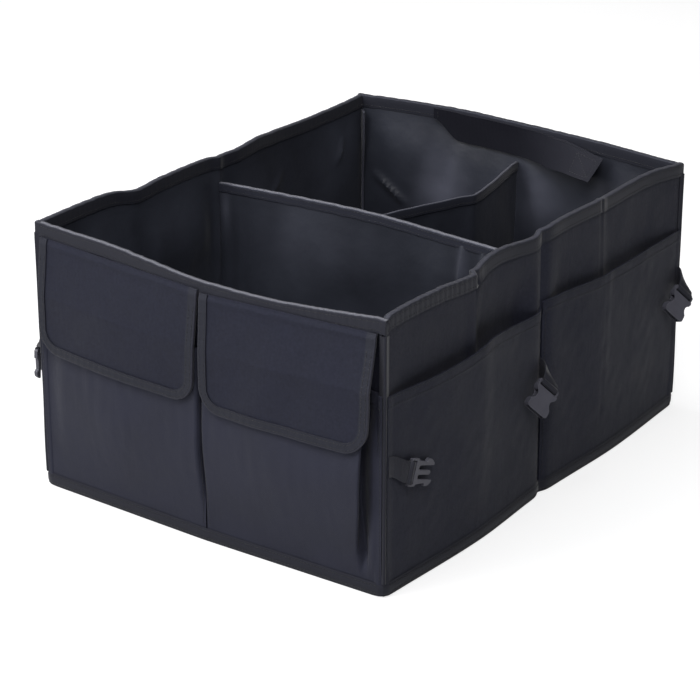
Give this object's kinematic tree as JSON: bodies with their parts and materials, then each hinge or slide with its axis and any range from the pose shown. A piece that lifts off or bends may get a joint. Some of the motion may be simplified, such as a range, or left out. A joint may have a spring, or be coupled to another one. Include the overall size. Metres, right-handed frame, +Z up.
{
  "type": "car storage box",
  "caption": "Open folding storage box of dark cloth for a car boot, with dividers, flap pockets on the front, patch pockets and half buckles on the sides.",
  "frame": {"origin": "middle of the flat cloth underside", "axes": "+X to the right along the front wall, +Y from the flap-pocket front to the rear, +Z up"},
  "size_m": [0.437, 0.5428, 0.2646],
  "materials": {
    "cloth": "woven, matt",
    "tape": "ribbed tape, slight sheen",
    "lining": "smooth coated cloth, slight sheen",
    "fastener": "hook and loop pile, matt",
    "plastic": "moulded grey, satin"
  },
  "bodies": {
    "box": {"floor_panel": "cloth", "front_base_board": "lining", "rear_base_board": "lining", "front_wall": "cloth", "rear_wall": "cloth", "left_wall_front_half": "cloth", "left_wall_rear_half": "cloth", "left_rim_tape": "tape", "left_base_tape": "tape", "right_wall_front_half": "cloth", "right_wall_rear_half": "cloth", "right_rim_tape": "tape", "right_base_tape": "tape", "front_rim_tape": "tape", "rear_rim_tape": "tape", "front_base_tape": "tape", "rear_base_tape": "tape", "front_left_corner_tape": "tape", "front_right_corner_tape": "tape", "rear_left_corner_tape": "tape", "rear_right_corner_tape": "tape", "middle_divider": "lining", "middle_divider_tape": "tape", "soft_divider": "lining", "soft_divider_tape": "tape", "left_front_pocket": "cloth", "left_loop_patch": "fastener", "right_front_pocket": "cloth", "right_loop_patch": "fastener", "left_side_pocket_front": "cloth", "left_side_pocket_rear": "cloth", "right_side_pocket_front": "cloth", "right_side_pocket_rear": "cloth", "left_front_webbing_tab": "tape", "left_middle_webbing_tab": "tape", "left_rear_webbing_tab": "tape", "right_front_webbing_tab": "tape", "right_middle_webbing_tab": "tape", "right_rear_webbing_tab": "tape", "carry_strap": "tape"},
    "left_flap": {"left_flap": "cloth", "left_flap_tape": "tape", "left_hook_patch": "fastener"},
    "right_flap": {"right_flap": "cloth", "right_flap_tape": "tape", "right_hook_patch": "fastener"},
    "left_front_buckle": {"left_front_buckle": "plastic"},
    "left_middle_buckle": {"left_middle_buckle": "plastic"},
    "left_rear_buckle": {"left_rear_buckle": "plastic"},
    "right_front_buckle": {"right_front_buckle": "plastic"},
    "right_middle_buckle": {"right_middle_buckle": "plastic"},
    "right_rear_buckle": {"right_rear_buckle": "plastic"}
  },
  "joints": [
    {"name": "left_flap_hinge", "type": "hinge", "parent": "box", "child": "left_flap", "pos_m": [-0.09625, -0.26103, 0.24238], "axis": [-0.9988, 0.0364, 0.0319], "range_deg": [0, 160]},
    {"name": "right_flap_hinge", "type": "hinge", "parent": "box", "child": "right_flap", "pos_m": [0.09625, -0.26101, 0.23829], "axis": [-0.9992, -0.0362, -0.0175], "range_deg": [0, 160]},
    {"name": "left_front_buckle_hinge", "type": "hinge", "parent": "box", "child": "left_front_buckle", "pos_m": [-0.20738, -0.239, 0.133], "axis": [-0.0998, 0.9878, 0.1197], "range_deg": [0, 120]},
    {"name": "left_middle_buckle_hinge", "type": "hinge", "parent": "box", "child": "left_middle_buckle", "pos_m": [-0.20953, -0.013, 0.118], "axis": [-0.4511, 0.5514, -0.7018], "range_deg": [0, 120]},
    {"name": "left_rear_buckle_hinge", "type": "hinge", "parent": "box", "child": "left_rear_buckle", "pos_m": [-0.21005, 0.241, 0.13], "axis": [-0.4511, 0.5514, -0.7018], "range_deg": [0, 120]},
    {"name": "right_front_buckle_hinge", "type": "hinge", "parent": "box", "child": "right_front_buckle", "pos_m": [0.20228, -0.227, 0.112], "axis": [0, -0.3401, -0.9404], "range_deg": [0, 120]},
    {"name": "right_middle_buckle_hinge", "type": "hinge", "parent": "box", "child": "right_middle_buckle", "pos_m": [0.20905, -0.013, 0.118], "axis": [-0.4511, -0.5514, 0.7018], "range_deg": [0, 120]},
    {"name": "right_rear_buckle_hinge", "type": "hinge", "parent": "box", "child": "right_rear_buckle", "pos_m": [0.2099, 0.241, 0.13], "axis": [-0.4511, -0.5514, 0.7018], "range_deg": [0, 120]}
  ]
}
